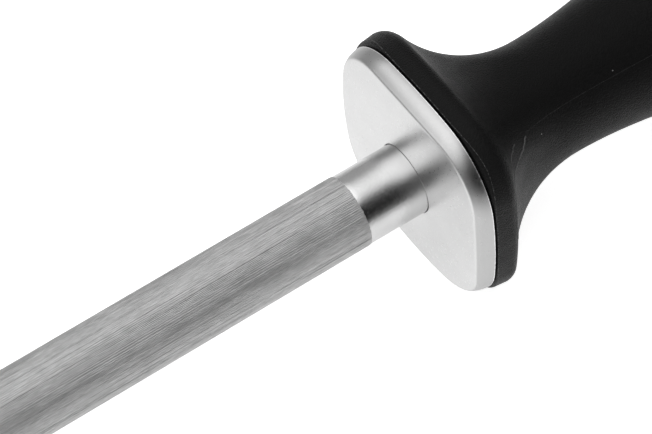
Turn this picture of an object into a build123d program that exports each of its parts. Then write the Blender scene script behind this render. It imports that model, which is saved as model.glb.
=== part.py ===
from build123d import *
import math
import os

os.makedirs("parts", exist_ok=True)

# A butcher's sharpening steel. Origin: where the rod's axis meets the front face of the guard plate.
# +X runs along the rod to its tip, +Z is up, and the guard's four sides face +Y, -Y, +Z and -Z.
# Millimetres.

# Rod, neck and tang, one forging
rod_radius = 6.5
rod_length = 250.0
neck_radius = 6.42
neck_length = 11.2
groove_lead_in = 0.6
tip_taper_length = 9.0
tip_taper_depth = 0.9
tip_rounding = 3.0
tang_square = 9.0
tang_square_end = -24.0
tang_radius = 4.0
tang_end = -116.5
tang_corner = 1.0
thread_length = 12.0
thread_radius = 3.9
thread_chamfer = 0.8

# Guard plate: a rounded square with slightly convex sides and a crowned face
guard_half = 20.38
guard_corner_reach = 23.2
guard_side_radius = 83.0
plate_thickness = 3.6
plate_flat_radius = 9.5
plate_crown_radius = 72.0
plate_edge_rounding = 0.7
plate_lean_length = 3.0
plate_side_lean = 0.92
plate_corner_lean = 0.4
plate_side_bow = 15.0
plate_back_chamfer = 0.15
shoulder_depth = 1.0
shoulder_clearance = 0.06
tang_clearance = 0.05

# Handle moulding: a flange behind the plate, a flare, a nearly round grip and a bulb at the butt
flange_proud_front = 0.11
flange_proud_back = 0.49
flange_front_rounding = 0.4
rim_end = -6.8
flat_rim_rounding = 2.0
flat_flare_end = -25.2
corner_rim_rounding = 2.8
corner_flare_end = -28.6
waist_x = -27.6
waist_radius = 10.72
grip_corner_proud = 0.12
grip_step = 8.0
palm_x = -71.5
palm_radius = 15.4
small_x = -104.0
small_radius = 13.3
bulb_x = -119.0
bulb_radius = 14.6
handle_end = -129.0
end_radius = 11.6
end_face_rounding = 1.2
socket_end_gap = 0.2
bore_radius = 4.1
nut_pocket_shelf = -106.0
nut_pocket_radius = 8.5

# Fasteners inside the butt
washer_radius = 8.0
washer_hole_radius = 4.2
washer_thickness = 1.6
nut_across_flats = 13.0
nut_height = 6.5
nut_hole_radius = 4.0
nut_chamfer = 0.5

# Butt cap, which holds the swivel
cap_plug_length = 8.0
cap_head_radius = 10.2
cap_head_thickness = 1.6
cap_head_rounding = 0.9
cap_grip_clearance = 0.03
collar_pocket_radius = 4.6
collar_pocket_depth = 3.0

# Swivel eye, its riveted collar and the hanging ring
swivel_radius = 2.25
swivel_clearance = 0.05
eye_centre_x = -137.2
eye_radius = 4.8
eye_hole_radius = 2.2
eye_thickness = 4.4
eye_edge_rounding = 1.0
eye_foot_radius = 3.6
eye_foot_thickness = 1.2
collar_radius = 4.0
collar_thickness = 1.6
swivel_end_gap = 0.3
peen_radius = 2.9
peen_thickness = 0.6
eye_stem_radius = 2.1
ring_wire_radius = 1.4
ring_mean_radius = 11.0


def rounded_square(half_width, corner_reach, side_radius):
    """Four convex sides joined by tangent corner arcs, about the origin."""
    side_centre = half_width - side_radius
    diagonal_shift = math.sqrt(2) * side_centre
    corner_radius = (side_radius**2 - side_centre**2 - corner_reach**2 + diagonal_shift * corner_reach) / (
        2 * side_radius - 2 * corner_reach + diagonal_shift
    )
    corner_centre = (corner_reach - corner_radius) / math.sqrt(2)
    side_angle = math.degrees(math.atan2(corner_centre, corner_centre - side_centre))
    with BuildLine() as outline:
        for turn in (0, 90, 180, 270):
            side = Vector(side_centre, 0).rotate(Axis.Z, turn)
            corner = Vector(corner_centre, corner_centre).rotate(Axis.Z, turn)
            CenterArc(side, side_radius, turn - side_angle, 2 * side_angle)
            CenterArc(corner, corner_radius, turn + side_angle, 90 - 2 * side_angle)
    return Face(outline.wire())


def guard_outline(proud):
    """The guard's outline, moved outwards by proud."""
    return rounded_square(guard_half + proud, guard_corner_reach + proud, guard_side_radius + proud)


def plate_outline(x):
    """The plate's outline at x. Its wall bulges: upright at the back, and leaning in towards the face."""
    lean = ((x + plate_thickness) / plate_lean_length) ** 2
    return rounded_square(
        guard_half - plate_side_lean * lean,
        guard_corner_reach - plate_corner_lean * lean,
        guard_side_radius - plate_side_bow * lean,
    )


def cross_plane(x):
    """A sketch plane across the axis, whose local X and Y are the model's Y and Z."""
    return Plane(origin=(x, 0, 0), x_dir=(0, 1, 0), z_dir=(1, 0, 0))


# The forging: grooved rod, smooth neck, square tang under the plate, round tang and its thread
with BuildPart() as steel_rod:
    with BuildSketch(Plane.XZ) as rod_half:
        with BuildLine():
            tip_start = rod_length - tip_taper_length
            tip_face_radius = rod_radius - tip_taper_depth - tip_rounding
            Polyline(
                (-shoulder_depth, 0),
                (-shoulder_depth, neck_radius),
                (neck_length, neck_radius),
                (neck_length + groove_lead_in, rod_radius),
                (tip_start, rod_radius),
            )
            Line((tip_start, rod_radius), (rod_length - tip_rounding, rod_radius - tip_taper_depth))
            RadiusArc(
                (rod_length - tip_rounding, rod_radius - tip_taper_depth),
                (rod_length, tip_face_radius),
                tip_rounding,
            )
            Line((rod_length, tip_face_radius), (rod_length, 0))
            Line((rod_length, 0), (-shoulder_depth, 0))
        make_face()
    revolve(axis=Axis.X)
    with BuildSketch(cross_plane(tang_square_end)) as tang_square_profile:
        RectangleRounded(tang_square, tang_square, tang_corner)
    extrude(amount=-shoulder_depth - tang_square_end)
    with BuildSketch(cross_plane(tang_square_end)) as tang_round_profile:
        Circle(tang_radius)
    extrude(amount=tang_end + thread_length - tang_square_end)
    with BuildSketch(cross_plane(tang_end + thread_length)) as thread_profile:
        Circle(thread_radius)
    extrude(amount=-thread_length)
    chamfer(steel_rod.faces().sort_by(Axis.X)[0].edges(), thread_chamfer)
steel_rod.part.label = "steel_rod"
export_step(steel_rod.part, "parts/steel_rod.step")

# The plate sits on the flange and is clamped there by the shoulder at the rod's neck
with BuildPart() as guard_plate:
    for share in (0, 1 / 3, 2 / 3, 1):
        with BuildSketch(cross_plane(-plate_thickness * (1 - share))):
            add(plate_outline(-plate_thickness * (1 - share)))
    loft()
    with BuildSketch(Plane.XZ) as crown_half:
        with BuildLine():
            flat_end = (0, plate_flat_radius)
            crown = JernArc(flat_end, (0, 1), plate_crown_radius, 15)
            Line(crown @ 1, (-plate_thickness, (crown @ 1).Y))
            Line((-plate_thickness, (crown @ 1).Y), (-plate_thickness, 0))
            Line((-plate_thickness, 0), (0, 0))
            Line((0, 0), flat_end)
        make_face()
    revolve(axis=Axis.X, mode=Mode.INTERSECT)
    face_edges = guard_plate.edges().filter_by(lambda edge: edge.center().X > -plate_thickness / 2)
    fillet(face_edges.filter_by(lambda edge: edge.length < 30), plate_edge_rounding)
    chamfer(guard_plate.faces().sort_by(Axis.X)[0].edges(), plate_back_chamfer)
    with BuildSketch(cross_plane(0)) as shoulder_seat:
        Circle(neck_radius + shoulder_clearance)
    extrude(amount=-shoulder_depth, mode=Mode.SUBTRACT)
    with BuildSketch(cross_plane(0)) as tang_hole:
        RectangleRounded(tang_square + 2 * tang_clearance, tang_square + 2 * tang_clearance, tang_corner)
    extrude(amount=-plate_thickness, mode=Mode.SUBTRACT)
guard_plate.part.label = "guard_plate"
export_step(guard_plate.part, "parts/guard_plate.step")


def flare_profile(x, rim_radius, end_radius, rim_rounding, flare_end):
    """The flare's radius at x: a convex arc rounds the rim and runs into a concave arc, level at flare_end."""
    reach = rim_radius - end_radius
    slope = 2 * math.atan(reach / (rim_end - flare_end))
    hollow = reach / (1 - math.cos(slope)) - rim_rounding
    behind_rim = rim_end - x
    if behind_rim < rim_rounding * math.sin(slope):
        return rim_radius - rim_rounding + math.sqrt(rim_rounding**2 - behind_rim**2)
    return end_radius + hollow - math.sqrt(hollow**2 - max(x - flare_end, 0) ** 2)


def flare_sections():
    """Position, half width and corner reach of each section from behind the rim to the waist.

    The flats and the corners of the rim's rounded square each follow a profile of their own, and the
    section is nearly round at the waist.
    """
    half_rim = guard_half + flange_proud_back
    corner_rim = guard_corner_reach + flange_proud_back
    corner_waist = waist_radius + grip_corner_proud
    positions = [rim_end - corner_rim_rounding * share for share in (0, 0.25, 0.5, 0.72, 0.9)]
    steps = 11
    positions += [positions[-1] + (waist_x - positions[-1]) * step / steps for step in range(1, steps + 1)]
    sections = []
    for position in positions:
        half_width = flare_profile(position, half_rim, waist_radius, flat_rim_rounding, flat_flare_end)
        corner_reach = flare_profile(position, corner_rim, corner_waist, corner_rim_rounding, corner_flare_end)
        sections.append((position, half_width, max(corner_reach, half_width + grip_corner_proud)))
    return sections


def grip_sections():
    """Position, half width and corner reach of each section behind the waist: half waves between stations."""
    stations = [(waist_x, waist_radius), (palm_x, palm_radius), (small_x, small_radius), (bulb_x, bulb_radius)]
    sections = []
    for (from_x, from_radius), (to_x, to_radius) in zip(stations, stations[1:]):
        steps = round((from_x - to_x) / grip_step)
        for step in range(1, steps + 1):
            rise = (1 - math.cos(math.pi * step / steps)) / 2
            half_width = from_radius + (to_radius - from_radius) * rise
            position = from_x + (to_x - from_x) * step / steps
            sections.append((position, half_width, half_width + grip_corner_proud))
    for share in (0.5, 1):
        position = bulb_x + (handle_end - bulb_x) * share
        half_width = bulb_radius - (bulb_radius - end_radius) * share**2
        sections.append((position, half_width, half_width + grip_corner_proud))
    return sections


def handle_outline(half_width, corner_reach):
    """A section of the handle, whose sides flatten as its corners stand out."""
    squareness = (corner_reach - half_width) / (guard_corner_reach - guard_half)
    rim_bulge = (guard_side_radius + flange_proud_back) / (guard_half + flange_proud_back)
    return rounded_square(half_width, corner_reach, half_width * (1 + (rim_bulge - 1) * squareness))


# The handle moulding: the flange's rim, then flare, grip and butt, then the room for tang, nut and cap
with BuildPart() as handle:
    with BuildSketch(cross_plane(-plate_thickness)) as flange_front:
        add(guard_outline(flange_proud_front))
    with BuildSketch(cross_plane(rim_end)) as flange_back:
        add(guard_outline(flange_proud_back))
    loft(ruled=True)
    fillet(handle.faces().sort_by(Axis.X)[-1].edges(), flange_front_rounding)
    for position, half_width, corner_reach in flare_sections() + grip_sections():
        with BuildSketch(cross_plane(position)):
            add(handle_outline(half_width, corner_reach))
    loft()
    fillet(handle.faces().sort_by(Axis.X)[0].edges(), end_face_rounding)
    with BuildSketch(cross_plane(-plate_thickness)) as tang_socket:
        RectangleRounded(tang_square + 2 * tang_clearance, tang_square + 2 * tang_clearance, tang_corner)
    extrude(amount=tang_square_end - socket_end_gap + plate_thickness, mode=Mode.SUBTRACT)
    with BuildSketch(cross_plane(handle_end)) as tang_bore:
        Circle(bore_radius)
    extrude(amount=-handle_end - plate_thickness, mode=Mode.SUBTRACT)
    with BuildSketch(cross_plane(handle_end)) as nut_pocket:
        Circle(nut_pocket_radius)
    extrude(amount=nut_pocket_shelf - handle_end, mode=Mode.SUBTRACT)
handle.part.label = "handle"
export_step(handle.part, "parts/handle.step")

# A washer and a nut pull the tang tight from the pocket in the butt
with BuildPart() as tang_washer:
    with BuildSketch(cross_plane(nut_pocket_shelf)) as washer_profile:
        Circle(washer_radius)
        Circle(washer_hole_radius, mode=Mode.SUBTRACT)
    extrude(amount=-washer_thickness)
tang_washer.part.label = "tang_washer"
export_step(tang_washer.part, "parts/tang_washer.step")

with BuildPart() as tang_nut:
    nut_front = nut_pocket_shelf - washer_thickness
    nut_corner_radius = nut_across_flats / math.sqrt(3)
    with BuildSketch(cross_plane(nut_front)) as nut_profile:
        RegularPolygon(nut_across_flats / 2, 6, major_radius=False)
    extrude(amount=-nut_height)
    with BuildSketch(Plane.XZ) as nut_turning:
        with BuildLine():
            Polyline(
                (nut_front, 0),
                (nut_front, nut_corner_radius - 2 * nut_chamfer),
                (nut_front - nut_chamfer, nut_corner_radius),
                (nut_front - nut_height + nut_chamfer, nut_corner_radius),
                (nut_front - nut_height, nut_corner_radius - 2 * nut_chamfer),
                (nut_front - nut_height, 0),
                close=True,
            )
        make_face()
    revolve(axis=Axis.X, mode=Mode.INTERSECT)
    with BuildSketch(cross_plane(nut_front)) as nut_hole:
        Circle(nut_hole_radius)
    extrude(amount=-nut_height, mode=Mode.SUBTRACT)
tang_nut.part.label = "tang_nut"
export_step(tang_nut.part, "parts/tang_nut.step")

# The cap is pressed into the pocket and carries the swivel in its bore
with BuildPart() as butt_cap:
    with BuildSketch(cross_plane(handle_end)) as plug_profile:
        Circle(nut_pocket_radius - cap_grip_clearance)
    extrude(amount=cap_plug_length)
    with BuildSketch(cross_plane(handle_end)) as head_profile:
        Circle(cap_head_radius)
    extrude(amount=-cap_head_thickness)
    fillet(butt_cap.faces().sort_by(Axis.X)[0].edges(), cap_head_rounding)
    with BuildSketch(cross_plane(handle_end + cap_plug_length)) as collar_pocket:
        Circle(collar_pocket_radius)
    extrude(amount=-collar_pocket_depth, mode=Mode.SUBTRACT)
    with BuildSketch(cross_plane(handle_end + cap_plug_length)) as swivel_bore:
        Circle(swivel_radius + swivel_clearance)
    extrude(amount=-cap_plug_length - cap_head_thickness, mode=Mode.SUBTRACT)
butt_cap.part.label = "butt_cap"
export_step(butt_cap.part, "parts/butt_cap.step")

# The swivel turns in the cap: an eye on a foot, a shank and a peened head behind the collar
with BuildPart() as swivel_eye:
    cap_face = handle_end - cap_head_thickness
    foot_face = cap_face - swivel_end_gap
    collar_front = handle_end + cap_plug_length - collar_pocket_depth + swivel_end_gap
    with BuildSketch(Plane.XZ) as swivel_half:
        with BuildLine():
            Polyline(
                (collar_front + collar_thickness + peen_thickness, 0),
                (collar_front + collar_thickness + peen_thickness, swivel_radius),
                (collar_front + collar_thickness, peen_radius),
                (collar_front + collar_thickness, swivel_radius),
                (foot_face, swivel_radius),
                (foot_face, eye_foot_radius),
                (foot_face - eye_foot_thickness, eye_foot_radius),
                (foot_face - eye_foot_thickness, eye_stem_radius),
                (eye_centre_x + eye_hole_radius + 1, eye_stem_radius),
                (eye_centre_x + eye_hole_radius + 1, 0),
                close=True,
            )
        make_face()
    revolve(axis=Axis.X)
    with BuildSketch(Plane.XZ.offset(-eye_thickness / 2)) as eye_profile:
        with Locations((eye_centre_x, 0)):
            Circle(eye_radius)
    extrude(amount=eye_thickness)
    with BuildSketch(Plane.XZ.offset(-eye_thickness / 2)) as eye_hole:
        with Locations((eye_centre_x, 0)):
            Circle(eye_hole_radius)
    extrude(amount=eye_thickness, mode=Mode.SUBTRACT)
    eye_edges = swivel_eye.faces().filter_by(Axis.Y).edges().filter_by(GeomType.CIRCLE)
    fillet(eye_edges, eye_edge_rounding)
swivel_eye.part.label = "swivel_eye"
export_step(swivel_eye.part, "parts/swivel_eye.step")

with BuildPart() as swivel_collar:
    with BuildSketch(cross_plane(collar_front)) as collar_profile:
        Circle(collar_radius)
        Circle(swivel_radius, mode=Mode.SUBTRACT)
    extrude(amount=collar_thickness)
swivel_collar.part.label = "swivel_collar"
export_step(swivel_collar.part, "parts/swivel_collar.step")

# The ring hangs straight down from the eye
with BuildPart() as hanging_ring:
    with Locations(Location((eye_centre_x, 0, -ring_mean_radius), (0, 90, 0))):
        Torus(ring_mean_radius, ring_wire_radius)
hanging_ring.part.label = "hanging_ring"
export_step(hanging_ring.part, "parts/hanging_ring.step")
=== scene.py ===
import math
import random

import bpy
from mathutils import Matrix, Vector, noise


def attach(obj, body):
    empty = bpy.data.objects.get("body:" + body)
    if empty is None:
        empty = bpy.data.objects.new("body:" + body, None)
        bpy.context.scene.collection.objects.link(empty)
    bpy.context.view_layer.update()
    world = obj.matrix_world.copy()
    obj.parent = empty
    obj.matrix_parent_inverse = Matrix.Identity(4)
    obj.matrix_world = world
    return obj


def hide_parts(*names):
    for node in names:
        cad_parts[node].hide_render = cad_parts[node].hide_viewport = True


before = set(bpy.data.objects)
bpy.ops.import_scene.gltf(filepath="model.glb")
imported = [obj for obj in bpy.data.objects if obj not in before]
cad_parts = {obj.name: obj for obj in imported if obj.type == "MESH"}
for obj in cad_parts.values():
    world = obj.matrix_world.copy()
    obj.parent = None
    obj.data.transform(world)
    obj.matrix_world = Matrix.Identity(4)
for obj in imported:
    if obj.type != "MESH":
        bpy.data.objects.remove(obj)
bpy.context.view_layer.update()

# A butcher's sharpening steel, lying on its handle's flange and on the rod, where the tip's taper
# starts. The origin is where the rod's axis meets the front face of the guard plate, and +X runs to the
# tip. The shapes are worked out in millimetres, and the meshes are in metres.
MM = 0.001

# Rod and neck
ROD_RADIUS = 6.5
NECK_RADIUS = 6.42
NECK_END = 11.2
SEAT_DEPTH = 1.0
TIP_TAPER_START = 241.0
TIP_ROUNDING_START = 247.0
TIP_RADIUS = 5.6
TIP_ROUNDING = 3.0
# The points across a groove, as shares of its width and depth
GROOVE_PROFILE = ((0.0, 0.0), (0.22, 0.55), (0.5, 1.0), (0.78, 0.55))
GROOVES = 132
GROOVE_DEPTH = 0.11
GROOVE_WIDTH_SPREAD = (0.65, 1.35)
GROOVE_DEPTH_SPREAD = (0.45, 1.0)
GROOVE_START_SPREAD = 0.12
GROOVE_SEED = 11
# The even stretch of the grooves, between their ragged start and their run-out at the tip
GROOVE_STRETCH = (NECK_END + 1.0, TIP_TAPER_START - 2.0)
GROOVE_STATIONS = 90
# A groove's depth swells round its mean by this much, as shares of its strength. Then the lengths over
# which it deepens and wanders, and how far it wanders as a share of its width.
GROOVE_SWELL_MEAN = 0.75
GROOVE_SWELL = 0.5
GROOVE_SWELL_LENGTH = 22
GROOVE_WANDER_LENGTH = 30
GROOVE_WANDER = 0.35
# The step up from the neck: how far its foot is sunk in the neck, and its rounded brow
STEP_SINK = 0.12
STEP_BROW = 0.03
STEP_BROW_LENGTH = 0.15
# The neck's skin runs on past the step, narrows inside the rod and ends in a face with a small ring in it
NECK_OVERRUN = 0.05
NECK_TUCK_LENGTH = 0.6
NECK_TUCK_DEPTH = 0.1
NECK_FACE_RING = 1.0
NECK_ANGLES = 192
# The tang
TANG_HALF = 4.5
TANG_CORNER = 1.0
TANG_SQUARE_END = -24.0
TANG_RADIUS = 4.0
THREAD_START = -104.5
THREAD_RADIUS = 3.9
THREAD_DEPTH = 0.45
THREAD_PITCH = 1.25
THREAD_RINGS = 76
THREAD_RUN_IN_RINGS = 8
TANG_END = -116.5

# Guard plate, a rounded square with slightly convex sides
GUARD_HALF = 20.38
GUARD_REACH = 23.2
GUARD_SIDE_RADIUS = 83.0
PLATE_BACK = -3.6
PLATE_FLAT_RADIUS = 9.5
PLATE_CROWN_RADIUS = 98.0
PLATE_EDGE_ROUNDING = 0.7
# The plate's corners reach less far than the handle's. Over the lean's length its sides and corners
# come in by these amounts, and the radius of its sides gets this much smaller.
PLATE_REACH = 22.8
PLATE_LEAN_LENGTH = 3.0
PLATE_SIDE_LEAN = 1.25
PLATE_CORNER_LEAN = 1.0
PLATE_SIDE_BOW = 15.0
PLATE_BACK_CHAMFER = 0.1
PLATE_ANGLES = 384
# The lip round the plate's back edge, whose brighter steel is a painted highlight: its width and height
# grow and shrink round this mean
BURR_PLACE = 0.1
BURR_WIDTH = 0.05
BURR_HEIGHT = 0.02
BURR_GROWTH_MEAN = 1.5
BURR_ANGLES = 720
# How far the edge's rounding has turned from the axis where it leaves the face and meets the wall
FACE_TURN = math.radians(9)
WALL_TURN = math.radians(61)
SEAT_RADIUS = 6.48
SEAT_BEVEL = 0.12
TANG_HOLE_HALF = 4.55

# Handle: flange, flare, grip and bulb
FLANGE_PROUD_FRONT = 0.11
FLANGE_PROUD_BACK = 0.479
# The rounding of the flange's front edge at its sides and at its corners
FLANGE_ROUNDING = 0.12
FLANGE_CORNER_ROUNDING = 0.9
# The dark joint between the plate and the flange
FLANGE_GAP = 0.34
FLANGE_GAP_DEPTH = 0.8
FLANGE_STATIONS = (-5.2, -6.0)
RIM_END = -6.8
FLAT_RIM_ROUNDING = 2.0
FLAT_FLARE_END = -25.2
CORNER_RIM_ROUNDING = 2.8
CORNER_FLARE_END = -28.6
WAIST_X = -27.6
WAIST_RADIUS = 10.72
GRIP_CORNER_PROUD = 0.12
GRIP_STATIONS = ((WAIST_X, WAIST_RADIUS), (-71.5, 15.4), (-104.0, 13.3), (-119.0, 14.6))
HANDLE_END = -129.0
END_RADIUS = 11.6
END_ROUNDING = 1.2
BORE_RADIUS = 4.1
SOCKET_END = -24.2
NUT_SHELF = -106.0
NUT_POCKET_RADIUS = 8.5
HANDLE_ANGLES = 320

# Lines on the handle: width and height of each raised bead, and how deep its foot is sunk
SEAM_ANGLE = 43.5
SEAM_START = -16.9
SEAM_END = HANDLE_END + 2.0
SEAM_STEPS = 260
SEAM_BEAD = (0.14, 0.05)
FLASH_BEAD = (0.4, 0.12)
SCUFF_BEAD = (0.26, 0.08)
RIM_BEAD = (0.14, 0.035)
BEAD_SINK = 0.02
# How far the lines waver: the seams and the flash in degrees, the flash and the rim along the axis
SEAM_WAVER = 0.25
FLASH_WAVER = 0.5
FLASH_RIPPLE = 0.12
RIM_RIPPLE = 0.03
RIM_STEPS = 720
# The flash and the scuff pass through these places: a position along the axis and an angle in degrees
FLASH_STATIONS = (
    (-16.9, 42.0),
    (-15.2, 36.0),
    (-12.3, 33.5),
    (-9.4, 33.0),
    (-8.2, 20.0),
    (-8.0, 8.0),
    (-8.2, -4.0),
)
SCUFF_STATIONS = ((-13.6, 44.0), (-12.4, 42.0), (-11.2, 41.0), (-10.4, 39.5))


def circle(radius):
    """A round section: the same radius at every angle."""
    return lambda angle: radius


def rounded_square(half_width, reach, side_radius):
    """A section of four convex sides joined by tangent corner arcs: its radius at an angle."""
    side_centre = half_width - side_radius
    shift = math.sqrt(2) * side_centre
    corner_radius = (side_radius**2 - side_centre**2 - reach**2 + shift * reach) / (
        2 * side_radius - 2 * reach + shift
    )
    corner_distance = reach - corner_radius
    corner_centre = corner_distance / math.sqrt(2)
    side_angle = math.atan2(corner_centre, corner_centre - side_centre)
    tangent_angle = math.atan2(
        side_radius * math.sin(side_angle), side_centre + side_radius * math.cos(side_angle)
    )

    def radius(angle):
        folded = angle % (math.pi / 2)
        folded = min(folded, math.pi / 2 - folded)
        if folded <= tangent_angle:
            across = side_centre * math.sin(folded)
            return side_centre * math.cos(folded) + math.sqrt(side_radius**2 - across**2)
        across = corner_distance * math.sin(folded - math.pi / 4)
        return corner_distance * math.cos(folded - math.pi / 4) + math.sqrt(corner_radius**2 - across**2)

    return radius


def tang_square(half_width, corner):
    """A square section with small round corners: its radius at an angle."""
    corner_distance = (half_width - corner) * math.sqrt(2)
    tangent_angle = math.atan2(half_width - corner, half_width)

    def radius(angle):
        folded = angle % (math.pi / 2)
        folded = min(folded, math.pi / 2 - folded)
        if folded <= tangent_angle:
            return half_width / math.cos(folded)
        across = corner_distance * math.sin(folded - math.pi / 4)
        return corner_distance * math.cos(folded - math.pi / 4) + math.sqrt(corner**2 - across**2)

    return radius


def guard_outline(proud):
    """The guard's outline, moved outwards by proud."""
    return rounded_square(GUARD_HALF + proud, GUARD_REACH + proud, GUARD_SIDE_RADIUS + proud)


def polar(x, radius, angle):
    """The point at x, that far from the axis and at that angle about it, which is 0 towards +Y."""
    return Vector((x, radius * math.cos(angle), radius * math.sin(angle)))


def ring(x, section, angles):
    """The points of a section at x."""
    return [polar(x, section(angle), angle) for angle in angles]


def even_angles(count):
    """count angles spread evenly over a full turn."""
    return [2 * math.pi * step / count for step in range(count)]


def skin(rings, closed=False):
    """The points and faces of a surface through rings of equal count, capped unless it is closed."""
    count = len(rings[0])
    points = [point for points_here in rings for point in points_here]
    faces = []
    for low in range(len(rings) if closed else len(rings) - 1):
        high = (low + 1) % len(rings)
        for step in range(count):
            after = (step + 1) % count
            faces.append(
                (low * count + step, low * count + after, high * count + after, high * count + step)
            )
    if not closed:
        faces.append(tuple(range(count)))
        faces.append(tuple(reversed(range((len(rings) - 1) * count, len(rings) * count))))
    return points, faces


def add_piece(name, surfaces, materials, body, sharp_degrees=35):
    """One mesh object of some surfaces, each with a material. Edges over sharp_degrees stay sharp."""
    points, faces, finishes = [], [], []
    for index, (surface_points, surface_faces) in enumerate(surfaces):
        start = len(points)
        points += [point * MM for point in surface_points]
        faces += [tuple(start + corner for corner in face) for face in surface_faces]
        finishes += [index] * len(surface_faces)
    mesh = bpy.data.meshes.new(name)
    mesh.from_pydata(points, [], faces)
    for material in materials:
        mesh.materials.append(material)
    mesh.polygons.foreach_set("material_index", finishes)
    mesh.validate()
    piece = bpy.data.objects.new(name, mesh)
    bpy.context.scene.collection.objects.link(piece)
    bpy.context.view_layer.objects.active = piece
    piece.select_set(True)
    bpy.ops.object.mode_set(mode="EDIT")
    bpy.ops.mesh.select_all(action="SELECT")
    bpy.ops.mesh.normals_make_consistent(inside=False)
    bpy.ops.object.mode_set(mode="OBJECT")
    piece.select_set(False)
    mesh.shade_smooth()
    mesh.set_sharp_from_angle(angle=math.radians(sharp_degrees))
    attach(piece, body)
    return piece


# Materials


class Nodes:
    """A material's node tree, with short calls for nodes and links. Texture sizes are in millimetres."""

    def __init__(self, name):
        self.material = bpy.data.materials.new(name)
        self.material.use_nodes = True
        self.tree = self.material.node_tree
        self.shader = self.tree.nodes["Principled BSDF"]
        self.place = self.tree.nodes.new("ShaderNodeTexCoord").outputs["Object"]

    def node(self, kind, **values):
        """A new node of that kind, with these of its settings."""
        made = self.tree.nodes.new(kind)
        for key, value in values.items():
            setattr(made, key, value)
        return made

    def link(self, source, socket):
        """A link from an output to an input."""
        self.tree.links.new(source, socket)

    def noise(self, size, detail=3.0, roughness=0.5):
        """Noise whose grain is size millimetres along X, Y and Z."""
        mapping = self.node("ShaderNodeMapping")
        mapping.inputs["Scale"].default_value = [1 / (length * MM) for length in size]
        self.link(self.place, mapping.inputs["Vector"])
        made = self.node("ShaderNodeTexNoise")
        made.inputs["Scale"].default_value = 1.0
        made.inputs["Detail"].default_value = detail
        made.inputs["Roughness"].default_value = roughness
        self.link(mapping.outputs["Vector"], made.inputs["Vector"])
        return made.outputs["Fac"]

    def specks(self, spacing, radius):
        """1 in round specks of that radius, one in each cell of that spacing, and 0 elsewhere."""
        mapping = self.node("ShaderNodeMapping")
        mapping.inputs["Scale"].default_value = [1 / (spacing * MM)] * 3
        self.link(self.place, mapping.inputs["Vector"])
        cells = self.node("ShaderNodeTexVoronoi", feature="F1")
        cells.inputs["Scale"].default_value = 1.0
        self.link(mapping.outputs["Vector"], cells.inputs["Vector"])
        return self.span(cells.outputs["Distance"], radius / spacing, 0.6 * radius / spacing, 0.0, 1.0)

    def span(self, source, low, high, low_value, high_value):
        """source mapped smoothly from low..high to low_value..high_value."""
        made = self.node("ShaderNodeMapRange", interpolation_type="SMOOTHSTEP")
        ends = {"From Min": low, "From Max": high, "To Min": low_value, "To Max": high_value}
        for key, value in ends.items():
            made.inputs[key].default_value = value
        self.link(source, made.inputs["Value"])
        return made.outputs["Result"]

    def mix(self, source, low_colour, high_colour):
        """low_colour where source is 0, high_colour where it is 1."""
        made = self.node("ShaderNodeMix", data_type="RGBA")
        made.inputs["A"].default_value = (*low_colour, 1)
        made.inputs["B"].default_value = (*high_colour, 1)
        self.link(source, made.inputs["Factor"])
        return made.outputs["Result"]

    def bump(self, source, height, normal=None):
        """Relief of that height in millimetres, on top of any earlier one."""
        made = self.node("ShaderNodeBump")
        made.inputs["Distance"].default_value = height * MM
        self.link(source, made.inputs["Height"])
        if normal:
            self.link(normal, made.inputs["Normal"])
        return made.outputs["Normal"]


def grooved_steel():
    """Hard-chromed steel with short lengthwise drawing marks and cloudy patches."""
    nodes = Nodes("grooved_steel")
    nodes.shader.inputs["Metallic"].default_value = 1.0
    streaks = nodes.noise((2.0, 0.13, 0.13), detail=3, roughness=0.65)
    fine = nodes.noise((0.8, 0.08, 0.08), detail=2)
    patches = nodes.noise((5, 1.6, 1.6), detail=3)
    streaked = nodes.mix(nodes.span(streaks, 0.3, 0.7, 0, 1), (0.44, 0.44, 0.44), (0.64, 0.64, 0.64))
    mottled = nodes.node("ShaderNodeVectorMath", operation="SCALE")
    nodes.link(streaked, mottled.inputs[0])
    nodes.link(nodes.span(patches, 0.35, 0.65, 0.92, 1.06), mottled.inputs["Scale"])
    nodes.link(mottled.outputs["Vector"], nodes.shader.inputs["Base Color"])
    nodes.link(nodes.span(patches, 0.3, 0.7, 0.56, 0.64), nodes.shader.inputs["Roughness"])
    nodes.link(nodes.bump(streaks, 0.016, nodes.bump(fine, 0.012)), nodes.shader.inputs["Normal"])
    return nodes.material


def satin_steel(name, dark, light, roughness, grain_height, painted_wall_shade=1.0):
    """Fine blasted and brushed steel. Faces that don't look along X get painted shade: their colour is
    darkened, down to the share given last.
    """
    nodes = Nodes(name)
    nodes.shader.inputs["Metallic"].default_value = 1.0
    grain = nodes.noise((0.45, 0.45, 0.45), detail=2, roughness=0.55)
    clouds = nodes.noise((6, 6, 6), detail=2)
    colour = nodes.mix(nodes.span(clouds, 0.3, 0.7, 0, 1), dark, light)
    facing = nodes.node("ShaderNodeSeparateXYZ")
    nodes.link(nodes.node("ShaderNodeTexCoord").outputs["Normal"], facing.inputs["Vector"])
    shade = nodes.node("ShaderNodeVectorMath", operation="SCALE")
    nodes.link(colour, shade.inputs[0])
    # Painted shade: the colour darkens as the normal turns away from X.
    nodes.link(nodes.span(facing.outputs["X"], 0.5, 0.97, painted_wall_shade, 1.0), shade.inputs["Scale"])
    nodes.link(shade.outputs["Vector"], nodes.shader.inputs["Base Color"])
    rough = nodes.span(grain, 0.25, 0.75, roughness - 0.03, roughness + 0.03)
    nodes.link(rough, nodes.shader.inputs["Roughness"])
    nodes.link(nodes.bump(grain, grain_height), nodes.shader.inputs["Normal"])
    return nodes.material


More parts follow.
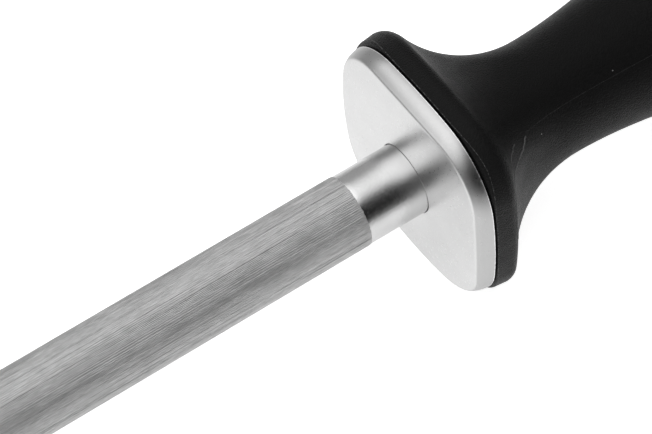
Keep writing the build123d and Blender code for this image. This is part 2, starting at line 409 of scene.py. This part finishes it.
def black_plastic(name, dark, light, painted_rim_sheen=0.0):
    """Black moulded plastic with a fine spark-eroded grain, a few specks of dust and a painted sheen: a
    lighter colour over the flange's rim.
    """
    nodes = Nodes(name)
    nodes.shader.inputs["Specular IOR Level"].default_value = 0.125
    grain = nodes.noise((0.3, 0.3, 0.3), detail=3, roughness=0.6)
    scuffs = nodes.noise((5, 3, 3), detail=5, roughness=0.6)
    place = nodes.node("ShaderNodeSeparateXYZ")
    nodes.link(nodes.place, place.inputs["Vector"])
    # Painted sheen: the colour is lighter over the flange's rim and fades out across its back edge.
    rim_sheen_band = nodes.span(place.outputs["X"], (RIM_END - 1.0) * MM, (RIM_END + 1.0) * MM, 0.0, painted_rim_sheen)
    dust = nodes.specks(6.0, 0.13)
    dust_and_sheen = nodes.node("ShaderNodeMath", operation="MAXIMUM")
    nodes.link(rim_sheen_band, dust_and_sheen.inputs[0])
    nodes.link(dust, dust_and_sheen.inputs[1])
    dusty = nodes.node("ShaderNodeMix", data_type="RGBA")
    dusty.inputs["B"].default_value = (0.3, 0.3, 0.3, 1)
    nodes.link(dust_and_sheen.outputs["Value"], dusty.inputs["Factor"])
    nodes.link(nodes.mix(nodes.span(grain, 0.4, 0.75, 0, 1), dark, light), dusty.inputs["A"])
    nodes.link(dusty.outputs["Result"], nodes.shader.inputs["Base Color"])
    nodes.link(nodes.span(scuffs, 0.3, 0.7, 0.37, 0.43), nodes.shader.inputs["Roughness"])
    nodes.link(nodes.bump(scuffs, 0.02, nodes.bump(grain, 0.25)), nodes.shader.inputs["Normal"])
    return nodes.material


def turned_steel(name, dark, light, roughness):
    """Bright steel with fine turning marks and light handling wear."""
    nodes = Nodes(name)
    nodes.shader.inputs["Metallic"].default_value = 1.0
    marks = nodes.noise((0.08, 1.5, 1.5), detail=3)
    wear = nodes.noise((1.2, 1.2, 1.2), detail=5, roughness=0.7)
    colour = nodes.mix(nodes.span(wear, 0.35, 0.65, 0, 1), dark, light)
    rough = nodes.span(marks, 0.3, 0.7, roughness - 0.05, roughness + 0.05)
    nodes.link(colour, nodes.shader.inputs["Base Color"])
    nodes.link(rough, nodes.shader.inputs["Roughness"])
    nodes.link(nodes.bump(marks, 0.003), nodes.shader.inputs["Normal"])
    return nodes.material


rod_finish = grooved_steel()
neck_finish = satin_steel("satin_neck", (0.57, 0.57, 0.57), (0.63, 0.63, 0.63), 0.22, 0.009)
# The plate's wall gets painted shade, at 0.66 of the face's colour.
plate_finish = satin_steel("satin_plate", (0.67, 0.67, 0.67), (0.69, 0.69, 0.69), 0.3, 0.0015, 0.66)
# The handle's flange rim gets a painted sheen of 0.016.
handle_finish = black_plastic("black_plastic", (0.0003, 0.0003, 0.0003), (0.0014, 0.0014, 0.0014), 0.016)
seam_finish = black_plastic("seam_plastic", (0.01, 0.01, 0.01), (0.035, 0.035, 0.035))
flash_finish = black_plastic("flash_plastic", (0.07, 0.07, 0.07), (0.15, 0.15, 0.15))
# The lighter bead along the flange's front edge is a painted highlight.
rim_highlight_finish = black_plastic("rim_highlight_plastic", (0.01, 0.01, 0.01), (0.16, 0.16, 0.16))
# The lip is a real rounded edge; its brighter steel is a painted highlight along the plate's back edge.
burr_highlight_finish = satin_steel("burr_highlight_steel", (0.88, 0.88, 0.88), (0.95, 0.95, 0.95), 0.4, 0.004)
cap_finish = turned_steel("turned_cap", (0.6, 0.6, 0.6), (0.68, 0.68, 0.68), 0.24)
zinc_finish = turned_steel("zinc_plated", (0.5, 0.51, 0.52), (0.6, 0.61, 0.62), 0.36)
fitting_finish = turned_steel("polished_fitting", (0.6, 0.6, 0.6), (0.7, 0.7, 0.7), 0.16)


# The rod: fine grooves of uneven width and depth run from the neck to the tip's taper


def tip_profile():
    """Stations and radii of the rod's tip, from the taper's start to the flat end."""
    yield TIP_TAPER_START, ROD_RADIUS
    yield TIP_ROUNDING_START, TIP_RADIUS
    for step in range(1, 9):
        turn = math.radians(90 * step / 8)
        inward = TIP_ROUNDING * (1 - math.cos(turn))
        yield TIP_ROUNDING_START + TIP_ROUNDING * math.sin(turn), TIP_RADIUS - inward


def rod_surface():
    """The rod's grooved skin, whose grooves start raggedly at the neck."""
    random.seed(GROOVE_SEED)
    widths = [random.uniform(*GROOVE_WIDTH_SPREAD) for _ in range(GROOVES)]
    strengths = [random.uniform(*GROOVE_DEPTH_SPREAD) for _ in range(GROOVES)]
    start_shifts = [random.uniform(0, GROOVE_START_SPREAD) for _ in range(GROOVES)]
    turn = 2 * math.pi / sum(widths)

    def groove_ring(x, radius, fade, jagged):
        points, angle = [], 0.0
        for groove, width in enumerate(widths):
            along = Vector((x / GROOVE_SWELL_LENGTH, groove * 7.3, 0))
            swell = GROOVE_SWELL_MEAN + GROOVE_SWELL * noise.noise(along)
            along = Vector((x / GROOVE_WANDER_LENGTH, groove * 5.1, 40))
            wander = GROOVE_WANDER * width * turn * noise.noise(along)
            shift = start_shifts[groove] if jagged else 0.0
            for share, depth in GROOVE_PROFILE:
                cut = min(GROOVE_DEPTH * strengths[groove] * swell * depth * fade, GROOVE_DEPTH)
                points.append(polar(x + shift, radius - cut, angle + share * width * turn + wander))
            angle += width * turn
        return points

    rings = [
        groove_ring(NECK_END, NECK_RADIUS - STEP_SINK, 0.0, True),
        groove_ring(NECK_END, ROD_RADIUS - STEP_BROW, 0.3, True),
        groove_ring(NECK_END + STEP_BROW_LENGTH, ROD_RADIUS, 0.9, True),
    ]
    start, end = GROOVE_STRETCH
    for step in range(GROOVE_STATIONS):
        x = start + (end - start) * step / (GROOVE_STATIONS - 1)
        rings.append(groove_ring(x, ROD_RADIUS, 1.0, False))
    for step, (x, radius) in enumerate(tip_profile()):
        rings.append(groove_ring(x, radius, max(0.0, 0.8 - 0.6 * step), False))
    return skin(rings)


def neck_and_tang_surface():
    """The smooth neck, the square and round tang behind it, and the thread at its end."""
    angles = even_angles(NECK_ANGLES)
    rings = []
    for step in range(THREAD_RINGS + 1):
        x = TANG_END + (THREAD_START - TANG_END) * step / THREAD_RINGS
        run_in = min(1.0, step / THREAD_RUN_IN_RINGS, (THREAD_RINGS - step) / THREAD_RUN_IN_RINGS)

        def thread(angle, x=x, run_in=run_in):
            wave = abs(((x / THREAD_PITCH + angle / (2 * math.pi)) % 1.0) * 2 - 1)
            return THREAD_RADIUS - THREAD_DEPTH * (1 - run_in + run_in * wave)

        rings.append(ring(x, thread, angles))
    rings.append(ring(THREAD_START, circle(TANG_RADIUS), angles))
    rings.append(ring(TANG_SQUARE_END, circle(TANG_RADIUS), angles))
    rings.append(ring(TANG_SQUARE_END, tang_square(TANG_HALF, TANG_CORNER), angles))
    rings.append(ring(-SEAT_DEPTH, tang_square(TANG_HALF, TANG_CORNER), angles))
    rings.append(ring(-SEAT_DEPTH, circle(NECK_RADIUS), angles))
    for step in range(13):
        rings.append(ring((NECK_END + NECK_OVERRUN) * step / 12, circle(NECK_RADIUS), angles))
    tuck_x = NECK_END + NECK_TUCK_LENGTH
    rings.append(ring(tuck_x, circle(NECK_RADIUS - NECK_TUCK_DEPTH), angles))
    rings.append(ring(tuck_x, circle(NECK_FACE_RING), angles))
    return skin(rings)


rod = add_piece("grooved_rod", [rod_surface()], [rod_finish], "steel", 75)
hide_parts("steel_rod")
add_piece("neck_and_tang", [neck_and_tang_surface()], [neck_finish], "steel")


# The guard plate: a crowned face with a rounded edge, and the seat that the neck stands in


def crown_drop(radius):
    """How far the crowned face lies behind the plate's flat middle, at a distance from the axis."""
    beyond = max(radius - PLATE_FLAT_RADIUS, 0.0)
    return PLATE_CROWN_RADIUS - math.sqrt(PLATE_CROWN_RADIUS**2 - beyond**2)


def plate_outline(x):
    """The plate's outline at x. Its wall bulges: upright at the back, and leaning in towards the face."""
    lean = ((x - PLATE_BACK) / PLATE_LEAN_LENGTH) ** 2
    return rounded_square(
        GUARD_HALF - PLATE_SIDE_LEAN * lean,
        PLATE_REACH - PLATE_CORNER_LEAN * lean,
        GUARD_SIDE_RADIUS - PLATE_SIDE_BOW * lean,
    )


def plate_edge(angle):
    """At an angle: where the wall starts along the axis, its radius there, and where the face ends.

    Each follows from the others, and a few rounds settle them from a first guess.
    """
    wall_x = -1.0
    for _ in range(4):
        wall_radius = plate_outline(wall_x)(angle)
        face_radius = wall_radius - PLATE_EDGE_ROUNDING * (math.sin(WALL_TURN) - math.sin(FACE_TURN))
        drop = PLATE_EDGE_ROUNDING * (math.cos(FACE_TURN) - math.cos(WALL_TURN))
        wall_x = -crown_drop(face_radius) - drop
    return wall_x, wall_radius, face_radius


def plate_surface():
    """The plate's skin: its hole and seat, its face, its edge, its wall and its back."""
    angles = even_angles(PLATE_ANGLES)
    edges = [plate_edge(angle) for angle in angles]
    rings = [
        ring(PLATE_BACK, tang_square(TANG_HOLE_HALF, TANG_CORNER), angles),
        ring(-SEAT_DEPTH, tang_square(TANG_HOLE_HALF, TANG_CORNER), angles),
        ring(-SEAT_DEPTH, circle(SEAT_RADIUS), angles),
        ring(-SEAT_BEVEL, circle(SEAT_RADIUS), angles),
        ring(0, circle(SEAT_RADIUS + SEAT_BEVEL), angles),
        ring(0, circle(PLATE_FLAT_RADIUS), angles),
    ]
    for step in range(1, 17):
        points = []
        for angle, (_, _, face_radius) in zip(angles, edges):
            radius = PLATE_FLAT_RADIUS + (face_radius - PLATE_FLAT_RADIUS) * step / 16
            points.append(polar(-crown_drop(radius), radius, angle))
        rings.append(points)
    for step in range(1, 9):
        turn = FACE_TURN + (WALL_TURN - FACE_TURN) * step / 8
        forward = PLATE_EDGE_ROUNDING * (math.cos(turn) - math.cos(WALL_TURN))
        inward = PLATE_EDGE_ROUNDING * (math.sin(WALL_TURN) - math.sin(turn))
        points = []
        for angle, (wall_x, wall_radius, _) in zip(angles, edges):
            points.append(polar(wall_x + forward, wall_radius - inward, angle))
        rings.append(points)
    wall_end = PLATE_BACK + PLATE_BACK_CHAMFER
    for step in range(1, 9):
        points = []
        for angle, (wall_x, _, _) in zip(angles, edges):
            x = wall_x + (wall_end - wall_x) * step / 8
            points.append(polar(x, plate_outline(x)(angle), angle))
        rings.append(points)
    back = rounded_square(
        GUARD_HALF - PLATE_BACK_CHAMFER,
        PLATE_REACH - PLATE_BACK_CHAMFER,
        GUARD_SIDE_RADIUS - PLATE_BACK_CHAMFER,
    )
    rings.append(ring(PLATE_BACK, back, angles))
    return skin(rings, closed=True)


def burr_surface():
    """The plate's rear edge: a fine uneven lip all round, whose brighter steel paints a highlight on it.
    """
    angles = even_angles(BURR_ANGLES)
    outline = plate_outline(PLATE_BACK)
    rings = []
    for turn in even_angles(8):
        points = []
        for step, angle in enumerate(angles):
            growth = BURR_GROWTH_MEAN + noise.noise(Vector((step * 0.45, 3.1, 0)))
            x = PLATE_BACK + BURR_PLACE + BURR_WIDTH * growth * math.cos(turn)
            radius = outline(angle) - BURR_HEIGHT + BURR_HEIGHT * growth * math.sin(turn)
            points.append(polar(x, radius, angle))
        rings.append(points)
    return skin(rings, closed=True)


plate = add_piece(
    "guard_plate_satin",
    [plate_surface(), burr_surface()],
    [plate_finish, burr_highlight_finish],
    "steel",
    30,
)
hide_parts("guard_plate")


# The handle: one moulding, from the flange's rim through the flare and the grip to the butt


def handle_outline(half_width, corner_reach):
    """A section of the handle, whose sides flatten as its corners stand out."""
    squareness = (corner_reach - half_width) / (GUARD_REACH - GUARD_HALF)
    rim_bulge = (GUARD_SIDE_RADIUS + FLANGE_PROUD_BACK) / (GUARD_HALF + FLANGE_PROUD_BACK)
    return rounded_square(half_width, corner_reach, half_width * (1 + (rim_bulge - 1) * squareness))


def flare_profile(x, rim_radius, end_radius, rim_rounding, flare_end):
    """The flare's radius at x: a convex arc round the rim, then a concave one, level at flare_end."""
    reach = rim_radius - end_radius
    slope = 2 * math.atan(reach / (RIM_END - flare_end))
    hollow = reach / (1 - math.cos(slope)) - rim_rounding
    behind_rim = RIM_END - x
    if behind_rim < rim_rounding * math.sin(slope):
        return rim_radius - rim_rounding + math.sqrt(rim_rounding**2 - behind_rim**2)
    return end_radius + hollow - math.sqrt(hollow**2 - max(x - flare_end, 0) ** 2)


def grip_radius(x):
    """The grip's radius behind the waist: half waves between its stations, then the bulb's fall."""
    for (start_x, start_radius), (end_x, end_radius) in zip(GRIP_STATIONS, GRIP_STATIONS[1:]):
        if x >= end_x:
            rise = (1 - math.cos(math.pi * (x - start_x) / (end_x - start_x))) / 2
            return start_radius + (end_radius - start_radius) * rise
    bulb_x, bulb_radius = GRIP_STATIONS[-1]
    return bulb_radius - (bulb_radius - END_RADIUS) * ((x - bulb_x) / (HANDLE_END - bulb_x)) ** 2


def handle_section(x):
    """The handle's section at x, behind the flange's front rounding."""
    if x >= RIM_END:
        share = (x - PLATE_BACK) / (RIM_END - PLATE_BACK)
        return guard_outline(FLANGE_PROUD_FRONT + (FLANGE_PROUD_BACK - FLANGE_PROUD_FRONT) * share)
    if x < WAIST_X:
        half_width = grip_radius(x)
        return handle_outline(half_width, half_width + GRIP_CORNER_PROUD)
    half_rim = GUARD_HALF + FLANGE_PROUD_BACK
    corner_rim = GUARD_REACH + FLANGE_PROUD_BACK
    corner_waist = WAIST_RADIUS + GRIP_CORNER_PROUD
    half_width = flare_profile(x, half_rim, WAIST_RADIUS, FLAT_RIM_ROUNDING, FLAT_FLARE_END)
    corner_reach = flare_profile(x, corner_rim, corner_waist, CORNER_RIM_ROUNDING, CORNER_FLARE_END)
    return handle_outline(half_width, max(corner_reach, half_width + GRIP_CORNER_PROUD))


def flange_rounding(angle):
    """The rounding of the flange's front edge, which grows from the sides to the corners."""
    corner = max(0.0, math.cos(2 * (angle % (math.pi / 2)) - math.pi / 2))
    return FLANGE_ROUNDING + (FLANGE_CORNER_ROUNDING - FLANGE_ROUNDING) * corner**8


def handle_surface():
    """The handle's skin: the joint, the flange, the flare, the grip, the butt, and the bore inside."""
    angles = even_angles(HANDLE_ANGLES)
    joint = guard_outline(-FLANGE_GAP_DEPTH)
    rings = [ring(PLATE_BACK, joint, angles), ring(PLATE_BACK - FLANGE_GAP, joint, angles)]
    for step in range(7):
        turn = math.radians(90 * step / 6)
        points = []
        for angle in angles:
            rounding = flange_rounding(angle)
            rim_x = PLATE_BACK - FLANGE_GAP - rounding
            radius = handle_section(rim_x)(angle) - rounding * (1 - math.sin(turn))
            points.append(polar(rim_x + rounding * math.cos(turn), radius, angle))
        rings.append(points)
    for x in (*FLANGE_STATIONS, RIM_END):
        rings.append(ring(x, handle_section(x), angles))
    for step in range(1, 13):
        x = RIM_END - CORNER_RIM_ROUNDING * math.sin(math.radians(70 * step / 12))
        rings.append(ring(x, handle_section(x), angles))
    flare_start = x
    for step in range(1, 49):
        x = flare_start + (WAIST_X - flare_start) * step / 48
        rings.append(ring(x, handle_section(x), angles))
    grip_end = HANDLE_END + END_ROUNDING
    for step in range(1, 61):
        x = WAIST_X + (grip_end - WAIST_X) * step / 60
        rings.append(ring(x, handle_section(x), angles))
    for step in range(1, 9):
        turn = math.radians(90 * step / 8)
        half_width = grip_radius(grip_end) - END_ROUNDING * (1 - math.cos(turn))
        outline = handle_outline(half_width, half_width + GRIP_CORNER_PROUD)
        rings.append(ring(grip_end - END_ROUNDING * math.sin(turn), outline, angles))
    rings.append(ring(HANDLE_END, circle(NUT_POCKET_RADIUS), angles))
    rings.append(ring(NUT_SHELF, circle(NUT_POCKET_RADIUS), angles))
    rings.append(ring(NUT_SHELF, circle(BORE_RADIUS), angles))
    rings.append(ring(SOCKET_END, circle(BORE_RADIUS), angles))
    rings.append(ring(SOCKET_END, tang_square(TANG_HOLE_HALF, TANG_CORNER), angles))
    rings.append(ring(PLATE_BACK, tang_square(TANG_HOLE_HALF, TANG_CORNER), angles))
    return skin(rings, closed=True)


def surface_point(x, degrees):
    """The point on the handle at x and an angle in degrees."""
    angle = math.radians(degrees)
    return polar(x, handle_section(x)(angle), angle)


def bead(path, width, height):
    """A low raised line along a path of (x, degrees) on the handle, such as a mould's parting line."""
    rings = []
    points = [surface_point(x, degrees) for x, degrees in path]
    for index, ((x, degrees), point) in enumerate(zip(path, points)):
        along = (points[min(index + 1, len(points) - 1)] - points[max(index - 1, 0)]).normalized()
        slope_x = surface_point(x - 0.05, degrees) - surface_point(x + 0.05, degrees)
        slope_turn = surface_point(x, degrees + 0.2) - surface_point(x, degrees - 0.2)
        outward = slope_turn.cross(slope_x).normalized()
        if outward.dot(Vector((0, point.y, point.z))) < 0:
            outward.negate()
        across = along.cross(outward).normalized()
        end_fade = min(1.0, index / 4, (len(points) - 1 - index) / 4)
        rings.append(
            [
                point
                + across * (width / 2 * math.cos(turn))
                + outward * (height * end_fade * math.sin(turn) - BEAD_SINK)
                for turn in even_angles(10)
            ]
        )
    return skin(rings)


def seam_path(start_x, degrees):
    """The parting line from start_x to the butt, which wavers by a few hundredths of a millimetre."""
    path = []
    for step in range(SEAM_STEPS + 1):
        waver = SEAM_WAVER * noise.noise(Vector((step * 0.35, degrees, 0)))
        path.append((start_x + (SEAM_END - start_x) * step / SEAM_STEPS, degrees + waver))
    return path


def flash_path(stations, steps):
    """A wavy line through stations of (x, degrees)."""
    path = []
    for step in range(steps + 1):
        place = (len(stations) - 1) * step / steps
        index = min(int(place), len(stations) - 2)
        share = place - index
        share = share * share * (3 - 2 * share)
        (x0, degrees0), (x1, degrees1) = stations[index], stations[index + 1]
        ripple = noise.noise(Vector((step * 0.3, 9.1, 3.7)))
        x = x0 + (x1 - x0) * share + FLASH_RIPPLE * ripple
        path.append((x, degrees0 + (degrees1 - degrees0) * share + FLASH_WAVER * ripple))
    return path


def rim_path():
    """The flange's front edge all round, which carries a raised line whose lighter colour is a painted
    highlight.
    """
    path = []
    for step in range(RIM_STEPS + 1):
        degrees = 225 + 360 * step / RIM_STEPS
        x = PLATE_BACK - FLANGE_GAP - flange_rounding(math.radians(degrees))
        path.append((x + RIM_RIPPLE * noise.noise(Vector((step * 0.4, 0, 5.5))), degrees))
    return path


handle = add_piece(
    "handle_moulding",
    [
        handle_surface(),
        bead(seam_path(SEAM_START, SEAM_ANGLE), *SEAM_BEAD),
        bead(seam_path(RIM_END - 2, SEAM_ANGLE + 180), *SEAM_BEAD),
        bead(flash_path(FLASH_STATIONS, 120), *FLASH_BEAD),
        bead(flash_path(SCUFF_STATIONS, 30), *SCUFF_BEAD),
        bead(rim_path(), *RIM_BEAD),
    ],
    [handle_finish, seam_finish, seam_finish, flash_finish, flash_finish, rim_highlight_finish],
    "steel",
    30,
)
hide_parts("handle")


# The fittings keep their CAD shape and get their finish

for node, finish in (
    ("butt_cap", cap_finish),
    ("tang_washer", zinc_finish),
    ("tang_nut", zinc_finish),
    ("swivel_collar", zinc_finish),
    ("swivel_eye", fitting_finish),
    ("hanging_ring", fitting_finish),
):
    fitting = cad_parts[node]
    fitting.data.materials.clear()
    fitting.data.materials.append(finish)


# The studio: a lit white floor, soft light overhead and a dark side low beyond the camera. The floor
# touches the flange's lower side and the rod where its taper starts.

FLANGE_LOWEST = GUARD_HALF + FLANGE_PROUD_BACK
FLOOR_TILT = math.atan((FLANGE_LOWEST - ROD_RADIUS) / (TIP_TAPER_START - RIM_END))
FLOOR_CLEARANCE = 0.03
# The length of the floor's sides, in metres
FLOOR_SIZE = 6.0
# The floor's glow as the object reflects it: full up to the first distance, none beyond the second.
# Distances along the rod count for less than those across it.
FLOOR_LIT = (26.0, 174.0)
FLOOR_GLOW = (1.0, 0.0)
FLOOR_DISTANCE_SHARES = (0.3, 1.0, 0.0)
# It is stronger on the camera's side: the glow at those distances to either side of the axis
FLOOR_SIDES = (-30.0, 30.0)
FLOOR_SIDE_GLOW = (0.44, 0.62)
# The glow that the camera sees
FLOOR_SEEN_GLOW = 0.85


def add_floor():
    """The flat floor that the steel lies on."""
    mesh = bpy.data.meshes.new("floor")
    half = FLOOR_SIZE / 2
    corners = [(-half, -half, 0), (half, -half, 0), (half, half, 0), (-half, half, 0)]
    mesh.from_pydata(corners, [], [(0, 1, 2, 3)])
    floor = bpy.data.objects.new("floor", mesh)
    bpy.context.scene.collection.objects.link(floor)
    floor.rotation_euler = (0, -FLOOR_TILT, 0)
    floor.location = (RIM_END * MM, 0, -(FLANGE_LOWEST + FLOOR_CLEARANCE) * MM)
    nodes = Nodes("lit_floor")
    nodes.shader.inputs["Roughness"].default_value = 0.8
    nodes.shader.inputs["Specular IOR Level"].default_value = 0.0
    nodes.shader.inputs["Emission Color"].default_value = (1, 1, 1, 1)
    paper = nodes.noise((40, 40, 40), detail=2)
    nodes.link(nodes.mix(paper, (0.78, 0.78, 0.78), (0.8, 0.8, 0.8)), nodes.shader.inputs["Base Color"])
    across = nodes.node("ShaderNodeVectorMath", operation="MULTIPLY")
    across.inputs[1].default_value = FLOOR_DISTANCE_SHARES
    nodes.link(nodes.place, across.inputs[0])
    distance = nodes.node("ShaderNodeVectorMath", operation="LENGTH")
    nodes.link(across.outputs["Vector"], distance.inputs[0])
    place = nodes.node("ShaderNodeSeparateXYZ")
    nodes.link(nodes.place, place.inputs["Vector"])
    near, far = (length * MM for length in FLOOR_LIT)
    left, right = (length * MM for length in FLOOR_SIDES)
    lit = nodes.node("ShaderNodeMath", operation="MULTIPLY")
    nodes.link(nodes.span(distance.outputs["Value"], near, far, *FLOOR_GLOW), lit.inputs[0])
    nodes.link(nodes.span(place.outputs["Y"], left, right, *FLOOR_SIDE_GLOW), lit.inputs[1])
    seen = nodes.node("ShaderNodeMix", data_type="FLOAT")
    nodes.link(nodes.node("ShaderNodeLightPath").outputs["Is Camera Ray"], seen.inputs["Factor"])
    nodes.link(lit.outputs["Value"], seen.inputs["A"])
    seen.inputs["B"].default_value = FLOOR_SEEN_GLOW
    nodes.link(seen.outputs["Result"], nodes.shader.inputs["Emission Strength"])
    mesh.materials.append(nodes.material)


# Each lobe of the sky: its direction, the angles from it where it is full and where it ends, and its
# radiance. The lobes add to the base, and the dark one takes the base down to its own radiance.
SKY_BASE = 0.46
SKY_LOBES = (
    ((0.3, -0.19, 0.98), 2, 55, 1.7),
    ((-0.5, -0.48, 0.87), 6, 89, 0.15),
)
SKY_DARK = ((-0.1, 0.83, 0.555), 6, 49, 0.006)


def add_sky():
    """Soft light from all round, which the metal and the plastic reflect. The camera sees plain white."""
    world = bpy.data.worlds.new("studio")
    bpy.context.scene.world = world
    world.use_nodes = True
    tree = world.node_tree
    tree.nodes.clear()
    direction = tree.nodes.new("ShaderNodeTexCoord").outputs["Generated"]

    def lobe(towards, full_degrees, end_degrees, low_value, high_value):
        dot = tree.nodes.new("ShaderNodeVectorMath")
        dot.operation = "DOT_PRODUCT"
        dot.inputs[1].default_value = Vector(towards).normalized()
        tree.links.new(direction, dot.inputs[0])
        ramp = tree.nodes.new("ShaderNodeMapRange")
        ramp.interpolation_type = "SMOOTHSTEP"
        ramp.inputs["From Min"].default_value = math.cos(math.radians(end_degrees))
        ramp.inputs["From Max"].default_value = math.cos(math.radians(full_degrees))
        ramp.inputs["To Min"].default_value = low_value
        ramp.inputs["To Max"].default_value = high_value
        tree.links.new(dot.outputs["Value"], ramp.inputs["Value"])
        return ramp.outputs["Result"]

    towards, full, end, radiance = SKY_DARK
    total = lobe(towards, full, end, SKY_BASE, radiance)
    for towards, full, end, radiance in SKY_LOBES:
        add = tree.nodes.new("ShaderNodeMath")
        tree.links.new(total, add.inputs[0])
        tree.links.new(lobe(towards, full, end, 0.0, radiance), add.inputs[1])
        total = add.outputs["Value"]
    studio = tree.nodes.new("ShaderNodeBackground")
    tree.links.new(total, studio.inputs["Strength"])
    plain = tree.nodes.new("ShaderNodeBackground")
    plain.inputs["Color"].default_value = (1, 1, 1, 1)
    choose = tree.nodes.new("ShaderNodeMixShader")
    tree.links.new(tree.nodes.new("ShaderNodeLightPath").outputs["Is Camera Ray"], choose.inputs["Fac"])
    tree.links.new(studio.outputs["Background"], choose.inputs[1])
    tree.links.new(plain.outputs["Background"], choose.inputs[2])
    output = tree.nodes.new("ShaderNodeOutputWorld")
    tree.links.new(choose.outputs["Shader"], output.inputs["Surface"])


# The camera: its place, the direction behind it and the direction to its right
CAMERA_PLACE = (159.71, 253.94, 408.43)
CAMERA_BACK = (0.28764, 0.50768, 0.81211)
CAMERA_RIGHT = (-0.82561, 0.56121, -0.05841)
CAMERA_LENS = 168.77
SENSOR_WIDTH = 36.0


def add_camera():
    """The camera, above the rod's side and looking down at the guard."""
    data = bpy.data.cameras.new("camera")
    data.lens = CAMERA_LENS
    data.sensor_width = SENSOR_WIDTH
    data.clip_start = 0.01
    camera = bpy.data.objects.new("camera", data)
    bpy.context.scene.collection.objects.link(camera)
    back = Vector(CAMERA_BACK).normalized()
    up = back.cross(Vector(CAMERA_RIGHT)).normalized()
    right = up.cross(back)
    turn = Matrix((right, up, back)).transposed().to_4x4()
    camera.matrix_world = Matrix.Translation(Vector(CAMERA_PLACE) * MM) @ turn
    bpy.context.scene.camera = camera


add_floor()
add_sky()
add_camera()
bpy.context.scene.view_settings.view_transform = "Standard"
